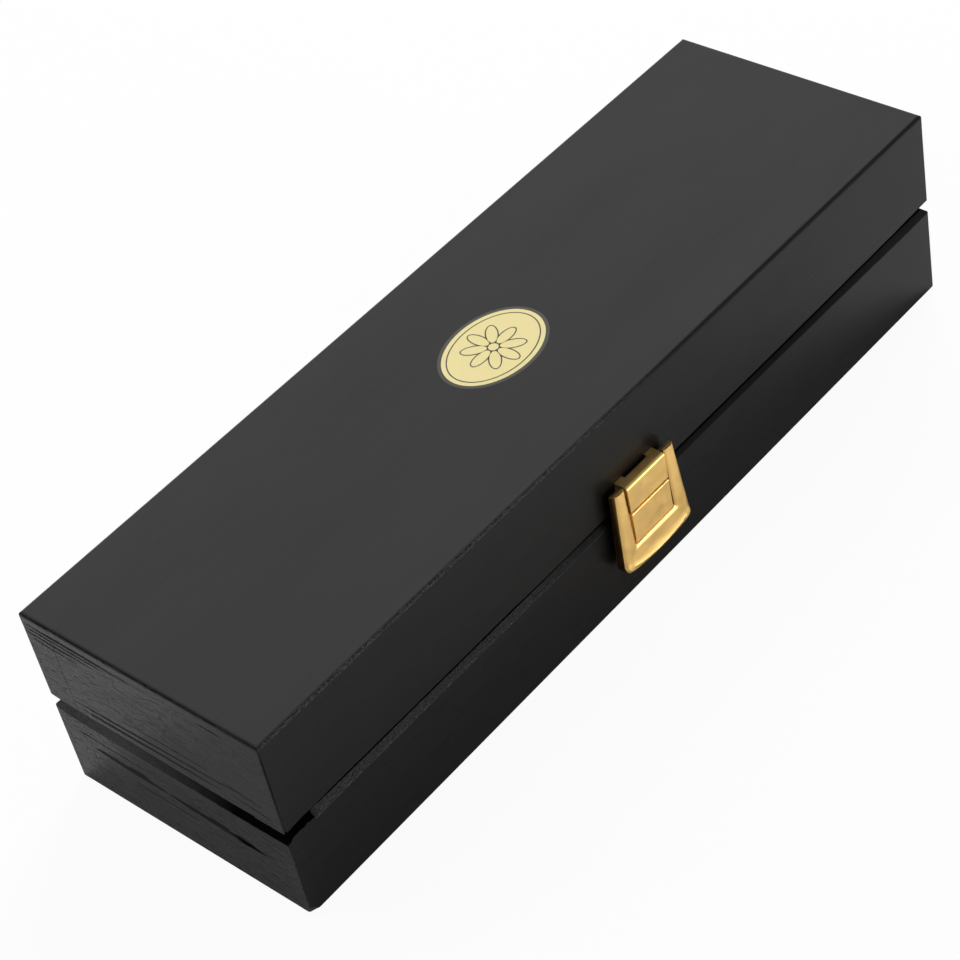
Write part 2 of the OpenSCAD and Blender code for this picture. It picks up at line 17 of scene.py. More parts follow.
import bmesh
import bpy
from bpy.types import Material, Node, NodeTree, Object
from mathutils import Euler, Matrix, Vector

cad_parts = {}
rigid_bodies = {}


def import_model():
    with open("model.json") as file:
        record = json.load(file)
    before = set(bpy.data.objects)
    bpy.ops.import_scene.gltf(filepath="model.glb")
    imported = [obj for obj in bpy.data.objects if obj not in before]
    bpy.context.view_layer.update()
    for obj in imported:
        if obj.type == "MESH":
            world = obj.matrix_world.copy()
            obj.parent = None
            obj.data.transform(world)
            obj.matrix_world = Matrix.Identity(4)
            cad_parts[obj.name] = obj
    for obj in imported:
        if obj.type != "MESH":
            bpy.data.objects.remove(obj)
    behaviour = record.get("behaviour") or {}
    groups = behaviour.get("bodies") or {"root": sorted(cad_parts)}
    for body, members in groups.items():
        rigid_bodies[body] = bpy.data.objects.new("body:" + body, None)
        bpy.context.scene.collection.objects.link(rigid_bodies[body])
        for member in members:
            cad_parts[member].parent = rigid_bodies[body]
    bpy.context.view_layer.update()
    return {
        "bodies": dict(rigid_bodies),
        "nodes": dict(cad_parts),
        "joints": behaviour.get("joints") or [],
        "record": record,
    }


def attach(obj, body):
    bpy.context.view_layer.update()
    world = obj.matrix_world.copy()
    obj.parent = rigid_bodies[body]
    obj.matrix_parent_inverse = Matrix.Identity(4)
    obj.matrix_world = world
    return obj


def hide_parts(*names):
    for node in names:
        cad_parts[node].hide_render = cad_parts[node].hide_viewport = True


LOG = logging.getLogger("knife_box")
SEED = 7
MM = 0.001

# Sizes that several sub-assemblies share, the same as the part's source
BOX_L = 260.0
BOX_W = 80.0
BOX_H = 59.2
SPLIT_Z = 28.6

# Two or three numbers that belong together
Pair = tuple[float, float]
Triple = tuple[float, float, float]

# Places closer than this count as one, and points of a mesh closer than this are merged
TOUCH = 0.01
SAME = 0.001
# Faces that differ by fewer degrees lie in one plane
LEVEL = 0.5
# A face is square to the box where one part of its normal is above this
SQUARE = 0.9999
# Nearly all of a noise texture lies between these two values
NOISE_LOW = 0.3
NOISE_HIGH = 0.7
# Numbers of a Mix node's sockets, first for numbers and then for colours
MIX_A = 2
MIX_B = 3
TINT_A = 6
TINT_B = 7
TINT_OUT = 2


class Axis(Enum):
    """The direction that the grain of a board runs in."""

    X = 0
    Y = 1


class Body(Enum):
    """The bodies of the frame that pieces ride on."""

    BASE = "base"
    LID = "lid"
    HASP = "hasp"


class Coat(Enum):
    """The coats of a board, numbered as in its material list; the first three go by a face's side."""

    END = 0
    LONG = 1
    TOP = 2
    # The last four coats carry painted light and shade
    SEAM = 3
    JOINT = 4
    ARRIS = 5
    END_SEAM = 6


def mm(*values: float) -> Vector:
    """Millimetres as a vector in metres."""
    return Vector(values) * MM


def per_metre(spacing: float) -> float:
    """Cells in a metre for a pattern with this spacing."""
    return 1.0 / (spacing * MM)


def linear(code: str) -> tuple[float, float, float, float]:
    """Turns an sRGB hex colour to the linear colour that a shader takes.

    Args:
        code: Six hex digits with a leading hash.

    Returns:
        Red, green, blue and alpha, linear.
    """
    parts = [int(code[i : i + 2], 16) / 255 for i in (1, 3, 5)]
    shades = [c / 12.92 if c <= 0.04045 else ((c + 0.055) / 1.055) ** 2.4 for c in parts]
    return (shades[0], shades[1], shades[2], 1.0)


def add_node(tree: NodeTree, kind: str, values: dict | None = None) -> Node:
    """Adds one node, sets its values and links what feeds it.

    Args:
        tree: The node tree that gets the node.
        kind: The node's type name, without the ShaderNode in front.
        values: Each by the name of a property, or by the name or number of an input.
            A node stands for its first output, and is linked as a socket is.

    Returns:
        The new node.
    """
    node = tree.nodes.new("ShaderNode" + kind)
    values = values or {}
    own = [key for key in values if isinstance(key, str) and hasattr(node, key)]
    for key in own:
        setattr(node, key, values[key])
    for key, value in values.items():
        if key in own:
            continue
        if isinstance(value, Node):
            value = value.outputs[0]
        if isinstance(value, bpy.types.NodeSocket):
            tree.links.new(value, node.inputs[key])
        else:
            node.inputs[key].default_value = value
    return node


# Finishes


@dataclass(frozen=True)
class Finish:
    """A finish with its material's name, patterned on object coordinates."""

    name: str

    def place(self, tree: NodeTree, scale: Triple = (1.0, 1.0, 1.0)) -> Node:
        """Adds object coordinates, scaled to a pattern's cells in a metre along X, Y and Z."""
        where = add_node(tree, "TexCoord")
        return add_node(tree, "Mapping", {"Scale": scale, "Vector": where.outputs["Object"]})

    def shader(self, tree: NodeTree) -> Node:
        """Builds the shader and what feeds it; each finish has its own."""
        raise NotImplementedError

    def make(self) -> Material:
        """Builds the material.

        Returns:
            The material, with its shader led to the output.
        """
        material = bpy.data.materials.new(self.name)
        material.use_nodes = True
        material.node_tree.nodes.clear()
        add_node(material.node_tree, "OutputMaterial", {"Surface": self.shader(material.node_tree)})
        return material


@dataclass(frozen=True)
class BlackPaint(Finish):
    """Black satin paint on open-grained wood, so thin that the pores still show as fine lines."""

    grain: Axis = Axis.X
    colour: str = "#100F0F"
    pore_colour: str = "#060606"
    roughness: float = 0.34
    gloss: float = 0.5
    pore_width: float = 0.55
    pore_length: float = 14.0
    pore_depth: float = 0.05
    pore_share: float = 0.5
    distortion: float = 0.25
    cloud_width: float = 18.0
    cloud_length: float = 70.0
    peel_size: float = 1.1
    peel_depth: float = 0.004

    def along_grain(self, width: float, length: float) -> Triple:
        """Cells in a metre for a pattern this wide across the grain and this long along it."""
        return tuple(per_metre(length if axis == self.grain.value else width) for axis in range(3))

    def shader(self, tree: NodeTree) -> Node:
        """Builds the paint: pores stretched along the grain, broad clouds and a faint orange peel.

        Args:
            tree: The material's tree.

        Returns:
            The shader.
        """
        along = self.place(tree, self.along_grain(self.pore_width, self.pore_length))
        pores = add_node(tree, "TexNoise", {
            "Vector": along, "Scale": 1.0, "Detail": 3.0, "Roughness": 0.6, "Distortion": self.distortion,
        })
        broad = self.place(tree, self.along_grain(self.cloud_width, self.cloud_length))
        clouds = add_node(tree, "TexNoise", {"Vector": broad, "Scale": 1.0, "Detail": 2.0})
        # Where the paint lies thin the pores are open, elsewhere they are filled
        thin = add_node(tree, "MapRange", {
            "Value": clouds, "From Min": 0.4, "From Max": 0.62, "To Min": 1.0 - self.pore_share,
        })
        groove = add_node(tree, "MapRange", {"Value": pores, "From Min": 0.34, "From Max": 0.5})
        filled = add_node(tree, "Math", {"operation": "MULTIPLY", 0: groove, 1: thin})
        height = add_node(tree, "Math", {"operation": "SUBTRACT", 0: filled, 1: thin})
        peel = add_node(tree, "TexNoise", {
            "Vector": self.place(tree), "Scale": per_metre(self.peel_size), "Detail": 2.0,
        })
        skin = add_node(tree, "Bump", {"Height": peel, "Strength": 1.0, "Distance": self.peel_depth * MM})
        bump = add_node(tree, "Bump", {
            "Height": height, "Normal": skin, "Strength": 1.0, "Distance": self.pore_depth * MM,
        })
        shine = add_node(tree, "MapRange", {
            "Value": clouds, "From Min": NOISE_LOW, "From Max": NOISE_HIGH,
            "To Min": self.roughness - 0.03, "To Max": self.roughness + 0.04,
        })
        shade = add_node(tree, "Mix", {
            "data_type": "RGBA", 0: groove, TINT_A: linear(self.pore_colour), TINT_B: linear(self.colour),
        })
        return add_node(tree, "BsdfPrincipled", {
            "Base Color": shade.outputs[TINT_OUT], "Roughness": shine, "Normal": bump,
            "IOR": 1.5, "Specular IOR Level": self.gloss,
        })


@dataclass(frozen=True)
class SeamPaint(Finish):
    """Black paint in the bevels of the seam: thick and matt, with painted light as a rough flecked grey
    along one run.
    """

    along: Axis = Axis.X
    colour: str = "#0A0A0A"
    # The second tone is painted light, shown along the run between the two places below
    light_tone: str = "#3C3B3A"
    run_from: float = -121.6
    run_to: float = -8.0
    fade_in: float = 3.0
    fade_out: float = 36.0
    fleck: float = 0.5
    fleck_stretch: float = 2.5
    cover_low: float = 0.38
    cover_high: float = 0.66
    roughness: float = 0.6
    gloss: float = 0.12
    grit: float = 0.08

    def shader(self, tree: NodeTree) -> Node:
        """Builds the paint, with the painted light of the grey run between two places along its axis.

        Args:
            tree: The material's tree.

        Returns:
            The shader.
        """
        where = add_node(tree, "TexCoord")
        parts = add_node(tree, "SeparateXYZ", {0: where.outputs["Object"]})
        place = parts.outputs[self.along.value]
        full_from = self.run_from + self.fade_in
        full_to = self.run_to - self.fade_out
        starts = add_node(tree, "MapRange", {
            "Value": place, "From Min": self.run_from * MM, "From Max": full_from * MM,
        })
        ends = add_node(tree, "MapRange", {
            "Value": place, "From Min": self.run_to * MM, "From Max": full_to * MM,
        })
        run = add_node(tree, "Math", {"operation": "MULTIPLY", 0: starts, 1: ends})
        cell = per_metre(self.fleck)
        cells = (per_metre(self.fleck * self.fleck_stretch), cell, cell)
        flecks = add_node(tree, "TexNoise", {
            "Vector": self.place(tree, cells), "Scale": 1.0, "Detail": 4.0, "Roughness": 0.7,
        })
        spots = add_node(tree, "MapRange", {
            "Value": flecks, "From Min": self.cover_low, "From Max": self.cover_high,
        })
        share = add_node(tree, "Math", {"operation": "MULTIPLY", 0: run, 1: spots})
        # Painted light: the second tone in flecks along the run
        shade = add_node(tree, "Mix", {
            "data_type": "RGBA", 0: share, TINT_A: linear(self.colour), TINT_B: linear(self.light_tone),
        })
        bump = add_node(tree, "Bump", {"Height": flecks, "Strength": 1.0, "Distance": self.grit * MM})
        return add_node(tree, "BsdfPrincipled", {
            "Base Color": shade.outputs[TINT_OUT], "Normal": bump,
            "Roughness": self.roughness, "Specular IOR Level": self.gloss,
        })


@dataclass(frozen=True)
class PlatedMetal(Finish):
    """Plated or plain metal that was tumbled to a satin: a soft gloss with faint clouds in it."""

    colour: str = "#FFD98C"
    deep: str = "#F6CB7C"
    roughness: float = 0.46
    cloud: float = 3.0
    # The marks of the tumbling are finer than the render shows, and drawn this coarse
    dent_size: float = 0.22
    dent: float = 0.002

    def shader(self, tree: NodeTree) -> Node:
        """Builds the metal.

        Args:
            tree: The material's tree.

        Returns:
            The shader.
        """
        at = self.place(tree)
        clouds = add_node(tree, "TexNoise", {
            "Vector": at, "Scale": per_metre(self.cloud), "Detail": 3.0,
        })
        dents = add_node(tree, "TexNoise", {
            "Vector": at, "Scale": per_metre(self.dent_size), "Detail": 2.0,
        })
        shade = add_node(tree, "Mix", {
            "data_type": "RGBA", 0: clouds, TINT_A: linear(self.deep), TINT_B: linear(self.colour),
        })
        gloss = add_node(tree, "MapRange", {
            "Value": clouds, "From Min": NOISE_LOW, "From Max": NOISE_HIGH,
            "To Min": self.roughness - 0.05, "To Max": self.roughness + 0.07,
        })
        bump = add_node(tree, "Bump", {"Height": dents, "Strength": 1.0, "Distance": self.dent * MM})
        return add_node(tree, "BsdfPrincipled", {
            "Base Color": shade.outputs[TINT_OUT], "Roughness": gloss, "Normal": bump, "Metallic": 1.0,
        })


@dataclass(frozen=True)
class Velvet(Finish):
    """Short-pile rayon velvet: dark from above, pale along its edges, with brushed patches."""

    colour: str = "#121215"
    brushed: str = "#202026"
    sheen: str = "#A4A4B0"
    patch: float = 22.0
    # The real pile is finer than the render shows, so it is drawn this coarse
    pile: float = 0.35
    pile_depth: float = 0.12

    def shader(self, tree: NodeTree) -> Node:
        """Builds the velvet.

        Args:
            tree: The material's tree.

        Returns:
            The shader.
        """
        at = self.place(tree)
        patches = add_node(tree, "TexNoise", {
            "Vector": at, "Scale": per_metre(self.patch), "Detail": 3.0,
        })
        pile = add_node(tree, "TexNoise", {"Vector": at, "Scale": per_metre(self.pile), "Detail": 2.0})
        lay = add_node(tree, "MapRange", {"Value": patches, "From Min": 0.42, "From Max": 0.6})
        shade = add_node(tree, "Mix", {
            "data_type": "RGBA", 0: lay, TINT_A: linear(self.colour), TINT_B: linear(self.brushed),
        })
        bump = add_node(tree, "Bump", {"Height": pile, "Strength": 0.8, "Distance": self.pile_depth * MM})
        return add_node(tree, "BsdfPrincipled", {
            "Base Color": shade.outputs[TINT_OUT], "Normal": bump, "Roughness": 0.9,
            "Sheen Weight": 0.7, "Sheen Roughness": 0.35, "Sheen Tint": linear(self.sheen),
            "Specular IOR Level": 0.1,
        })


@dataclass(frozen=True)
class BlackCard(Finish):
    """Uncoated black card: a dry matt face with fibres in it."""

    colour: str = "#16161A"
    fibre: str = "#26262A"
    fibre_width: float = 0.5
    fibre_length: float = 1.6
    fibre_depth: float = 0.03

    def shader(self, tree: NodeTree) -> Node:
        """Builds the card.

        Args:
            tree: The material's tree.

        Returns:
            The shader.
        """
        across = per_metre(self.fibre_width)
        along = self.place(tree, (across, per_metre(self.fibre_length), across))
        fibres = add_node(tree, "TexNoise", {"Vector": along, "Scale": 1.0, "Detail": 4.0})
        shade = add_node(tree, "Mix", {
            "data_type": "RGBA", 0: fibres, TINT_A: linear(self.colour), TINT_B: linear(self.fibre),
        })
        bump = add_node(tree, "Bump", {
            "Height": fibres, "Strength": 0.5, "Distance": self.fibre_depth * MM,
        })
        return add_node(tree, "BsdfPrincipled", {
            "Base Color": shade.outputs[TINT_OUT], "Normal": bump, "Roughness": 0.85,
        })


@dataclass(frozen=True)
class HotFoil(Finish):
    """Hot-stamped foil on paint: pale gold, or its grey outline, half glossy and slightly uneven."""

    colour: str = "#F0E2A5"
    metallic: float = 0.35
    roughness: float = 0.5
    grain: float = 0.8
    grain_depth: float = 0.01

    def shader(self, tree: NodeTree) -> Node:
        """Builds the foil.

        Args:
            tree: The material's tree.

        Returns:
            The shader.
        """
        grain = add_node(tree, "TexNoise", {
            "Vector": self.place(tree), "Scale": per_metre(self.grain), "Detail": 3.0,
        })
        bump = add_node(tree, "Bump", {
            "Height": grain, "Strength": 0.6, "Distance": self.grain_depth * MM,
        })
        gloss = add_node(tree, "MapRange", {
            "Value": grain, "From Min": NOISE_LOW, "From Max": NOISE_HIGH,
            "To Min": self.roughness - 0.06, "To Max": self.roughness + 0.08,
        })
        return add_node(tree, "BsdfPrincipled", {
            "Base Color": linear(self.colour), "Roughness": gloss, "Normal": bump,
            "Metallic": self.metallic,
        })


class Finishes:
    """Every finish of the box, each made once."""

    def __init__(self) -> None:
        """Builds all materials."""
        coats = {
            # Coarse open pores that run across the ends and break the light up
            Coat.END: BlackPaint(
                "black_satin_paint_ends", Axis.Y, gloss=0.24, pore_width=1.3, pore_length=4.2,
                pore_depth=0.17, pore_share=0.75, distortion=1.3,
            ),
            # Fine long lines and a low gloss: the walls look darker than the top
            Coat.LONG: BlackPaint(
                "black_satin_paint_long_walls", pore_depth=0.012, roughness=0.31, gloss=0.2
            ),
            # Nearly filled pores: an even charcoal sheen over the whole top
            Coat.TOP: BlackPaint("black_satin_paint_top", pore_depth=0.004, roughness=0.36),
            # Painted light: flecked grey on the left half, where the bevel catches the light, plain black
            # on the right
            Coat.SEAM: SeamPaint("seam_paint_with_painted_light", light_tone="#363636", fleck=0.25, cover_high=0.6),
            # Painted shadow: thick, quite matt black that gives no light back, for the shade in the seam
            # under the lid's edge
            Coat.JOINT: SeamPaint(
                "painted_seam_shadow", colour="#030303", light_tone="#060606", roughness=1.0, gloss=0.0
            ),
            # Painted highlight: a thin line of pale specks where the rounded arris catches the light,
            # gone on the right half
            Coat.ARRIS: SeamPaint(
                "arris_paint_with_painted_highlight", colour="#121212", light_tone="#4C4C4C", run_from=-131.0,
                run_to=20.0, fleck=0.2, cover_low=0.46, cover_high=0.64, gloss=0.1, grit=0.01,
            ),
            # Painted light: black at the front, with grey coming up slowly towards the back, where the
            # bevel shows more light
            Coat.END_SEAM: SeamPaint(
                "end_seam_paint_with_painted_light", Axis.Y, colour="#050505", light_tone="#6C6C6C", run_from=-22.0,
                run_to=240.0, fade_in=40.0, fade_out=480.0, cover_low=0.1, cover_high=0.6,
                roughness=1.0, gloss=0.02, grit=0.02,
            ),
        }
        self.coats = {coat: finish.make() for coat, finish in coats.items()}
        # Dull black against the satin: the filler shows where the paint never reached
        self.pores = SeamPaint(
            "bare_black_in_open_pores", colour="#111111", light_tone="#1C1C1C", roughness=0.8, gloss=0.22
        ).make()
        # Warm and bright with a soft gloss, from tumbling before the bath
        self.gold = PlatedMetal("satin_gold_plating").make()
        # Painted shade: dark brown gold on the walls of the gaps between the parts, where shade falls
        self.gap_shade = PlatedMetal(
            "gold_with_painted_gap_shade", colour="#4A331A", deep="#2C1D0D", roughness=0.7
        ).make()
        # Painted shade: darker gold on the frame's outer sides, which stand in shade beside the bright
        # fronts
        self.flank_shade = PlatedMetal(
            "gold_with_painted_flank_shade", colour="#80643A", deep="#6A5028", roughness=0.4
        ).make()
        # Rolled and left plain: yellow, a little glossier than the plating
        self.brass = PlatedMetal("rolled_brass", colour="#D9B36A", deep="#B98F45", roughness=0.34).make()
        # Turned heads: small sharp glints
        self.screws = PlatedMetal("brass_screws", colour="#DDBE7A", deep="#BE9A50", roughness=0.26).make()
        # Redder than the brass, with a springy gloss
        self.bronze = PlatedMetal("spring_bronze", colour="#C98F58", deep="#A56C3A", roughness=0.3).make()
        self.velvet = Velvet("rayon_velvet").make()
        self.card = BlackCard("black_card").make()
        self.foil = HotFoil("hot_stamped_foil").make()
        self.foil_edge = HotFoil("foil_outline", colour="#4A4A44", metallic=0.0).make()
# Work at the bench: selection, copies, bevels


def deselect() -> None:
    """Deselects every object."""
    bpy.ops.object.select_all(action="DESELECT")


def take(piece: Object) -> None:
    """Makes one object the selected and active one.

    Args:
        piece: The object.
    """
    deselect()
    piece.select_set(True)
    bpy.context.view_layer.objects.active = piece


@contextmanager
def opened(piece: Object) -> Iterator[None]:
    """Opens a piece in edit mode with all of it selected, and closes it again.

    Args:
        piece: The piece.

    Returns:
        The context in which the piece is open.
    """
    take(piece)
    bpy.ops.object.mode_set(mode="EDIT")
    bpy.ops.mesh.select_all(action="SELECT")
    yield
    bpy.ops.object.mode_set(mode="OBJECT")


def settle(piece: Object) -> None:
    """Puts a piece's place, turn and size into its mesh."""
    take(piece)
    bpy.ops.object.transform_apply(location=True, rotation=True, scale=True)


def apply_modifiers(piece: Object) -> None:
    """Applies every modifier of a piece, in order.

    Args:
        piece: The piece.
    """
    take(piece)
    for modifier in list(piece.modifiers):
        bpy.ops.object.modifier_apply(modifier=modifier.name)


def smooth(piece: Object, degrees: float = 35.0) -> None:
    """Shades a piece smooth over its rounded edges and keeps its flats flat.

    Args:
        piece: The piece.
        degrees: Edges sharper than this stay sharp.
    """
    take(piece)
    bpy.ops.object.shade_smooth_by_angle(angle=math.radians(degrees))
    flats = piece.modifiers.new("flats", "WEIGHTED_NORMAL")
    flats.keep_sharp = True
    flats.weight = 100
    apply_modifiers(piece)


def level_flats(piece: Object) -> None:
    """Gives the corners of every flat that is square to the box the flat's own normal.

    Args:
        piece: The piece.
    """
    mesh = piece.data
    normals = [corner.vector.copy() for corner in mesh.corner_normals]
    for face in mesh.polygons:
        if max(abs(part) for part in face.normal) > SQUARE:
            for index in face.loop_indices:
                normals[index] = face.normal.copy()
    mesh.normals_split_custom_set(normals)


def bevel(
    piece: Object, width: float, segments: int, degrees: float,
    weigh: Callable[[bmesh.types.BMEdge], float] | None = None, clamp: bool = True,
) -> None:
    """Bevels the edges of a piece.

    Args:
        piece: The piece.
        width: Width at weight 1.
        segments: Faces across each bevel.
        degrees: Edges that turn less than this stay.
        weigh: Gives an edge's weight; without it, all have the full width.
        clamp: Whether short edges hold the width back.
    """
    if weigh is not None:
        mesh = bmesh.new()
        mesh.from_mesh(piece.data)
        layer = mesh.edges.layers.float.new("bevel_weight_edge")
        for edge in mesh.edges:
            if len(edge.link_faces) == 2 and edge.calc_face_angle() >= math.radians(degrees):
                edge[layer] = weigh(edge)
        mesh.to_mesh(piece.data)
        mesh.free()
    rounding = piece.modifiers.new("round", "BEVEL")
    rounding.width = width * MM
    rounding.segments = segments
    rounding.limit_method = "ANGLE" if weigh is None else "WEIGHT"
    rounding.angle_limit = math.radians(degrees)
    rounding.use_clamp_overlap = clamp
    rounding.miter_outer = "MITER_ARC"
    apply_modifiers(piece)


def copy_node(source: Object, name: str) -> Object:
    """Copies a CAD node as a new piece with one clean face for each flat.

    Args:
        source: The CAD node's object.
        name: The new piece's name.

    Returns:
        The new piece, merged, with coplanar triangles dissolved.
    """
    piece = bpy.data.objects.new(name, source.data.copy())
    piece.matrix_world = Matrix.Identity(4)
    bpy.context.scene.collection.objects.link(piece)
    piece.data.name = name
    with opened(piece):
        bpy.ops.mesh.remove_doubles(threshold=SAME * MM)
        bpy.ops.mesh.dissolve_limited(angle_limit=math.radians(LEVEL), delimit={"NORMAL"})
    return piece


def oval_slab(
    sizes: Pair, turn: Euler, place: Vector, push: Vector, points: int
) -> Object:
    """Makes a thin oval slab from a disc.

    Args:
        sizes: Half its length and half its width.
        turn: The disc's turn.
        place: The disc's centre.
        push: How far and which way the disc is extruded.
        points: Corners of its outline.

    Returns:
        The slab, closed all round.
    """
    deselect()
    bpy.ops.mesh.primitive_circle_add(vertices=points, radius=1.0, fill_type="NGON")
    piece = bpy.context.active_object
    piece.scale = (sizes[0] * MM, sizes[1] * MM, 1.0)
    piece.rotation_euler = turn
    piece.location = place * MM
    settle(piece)
    with opened(piece):
        bpy.ops.mesh.extrude_region_move(TRANSFORM_OT_translate={"value": push * MM})
        bpy.ops.mesh.select_all(action="SELECT")
        bpy.ops.mesh.normals_make_consistent(inside=False)
    return piece


def join(name: str, pieces: list[Object]) -> Object:
    """Joins pieces to one.

    Args:
        name: The new piece's name.
        pieces: The pieces; the first takes in the others.

    Returns:
        The joined piece.
    """
    take(pieces[0])
    for piece in pieces:
        piece.select_set(True)
    bpy.ops.object.join()
    pieces[0].name = name
    return pieces[0]


def fit_out(
    piece: Object, body: Body, material: Material | None, replaces: tuple[str, ...] = ()
) -> None:
    """Dresses a piece and tells the frame about it.

    Args:
        piece: The finished piece.
        body: The body that it rides on.
        material: The one material of the piece, or None where it already has its own.
        replaces: The CAD nodes that it stands for.
    """
    if material is not None:
        piece.data.materials.clear()
        piece.data.materials.append(material)
    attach(piece, body.value)
    if replaces:
        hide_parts(*replaces)
    LOG.info("%s: %d faces on %s", piece.name, len(piece.data.polygons), body.value)


@dataclass
class Bench:
    """The frame and the finishes that every sub-assembly works with."""

    frame: dict
    finishes: Finishes

    def node(self, name: str) -> Object:
        """The CAD node's object."""
        return self.frame["nodes"][name]

    def dress(self, name: str, material: Material) -> None:
        """Gives a CAD node that stays a better material.

        Args:
            name: The CAD node.
            material: Its finish.
        """
        node = self.node(name)
        for index in range(len(node.data.materials)):
            node.data.materials[index] = material
        LOG.info("%s keeps its CAD shape", name)


# The wooden case

# Places along an edge with the heights there
Course = tuple[Pair, ...]


def between(course: Course, place: float) -> float:
    """The height of a course at one place, from the nearest two places of it.

    Args:
        course: Places and heights.
        place: The place that is asked for.

    Returns:
        The height, or nothing beyond the course's ends.
    """
    for (x0, z0), (x1, z1) in zip(course, course[1:]):
        if x0 <= place <= x1:
            return z0 + (z1 - z0) * (place - x0) / (x1 - x0)
    return 0.0


def inward(place: Vector) -> float:
    """How far a place lies in from the nearest outer side of the box."""
    return min(BOX_L / 2 - abs(place.x), BOX_W / 2 - abs(place.y))


@dataclass(frozen=True)
class Arris:
    """The edge of a seam's bevel, planed by hand and so never quite straight."""

    level: float
    front: Course
    end: Course
    wobble: float = 0.06

    def shift(self, place: Vector) -> float:
        """How far the edge lies off its level.

        Args:
            place: A point of the edge.

        Returns:
            The height, which goes along X on the front and along Y on the left end.
        """
        if place.y < TOUCH - BOX_W / 2:
            return between(self.front, place.x) + random.uniform(-self.wobble, self.wobble)
        if place.x < TOUCH - BOX_L / 2:
            return between(self.end, place.y)
        return 0.0


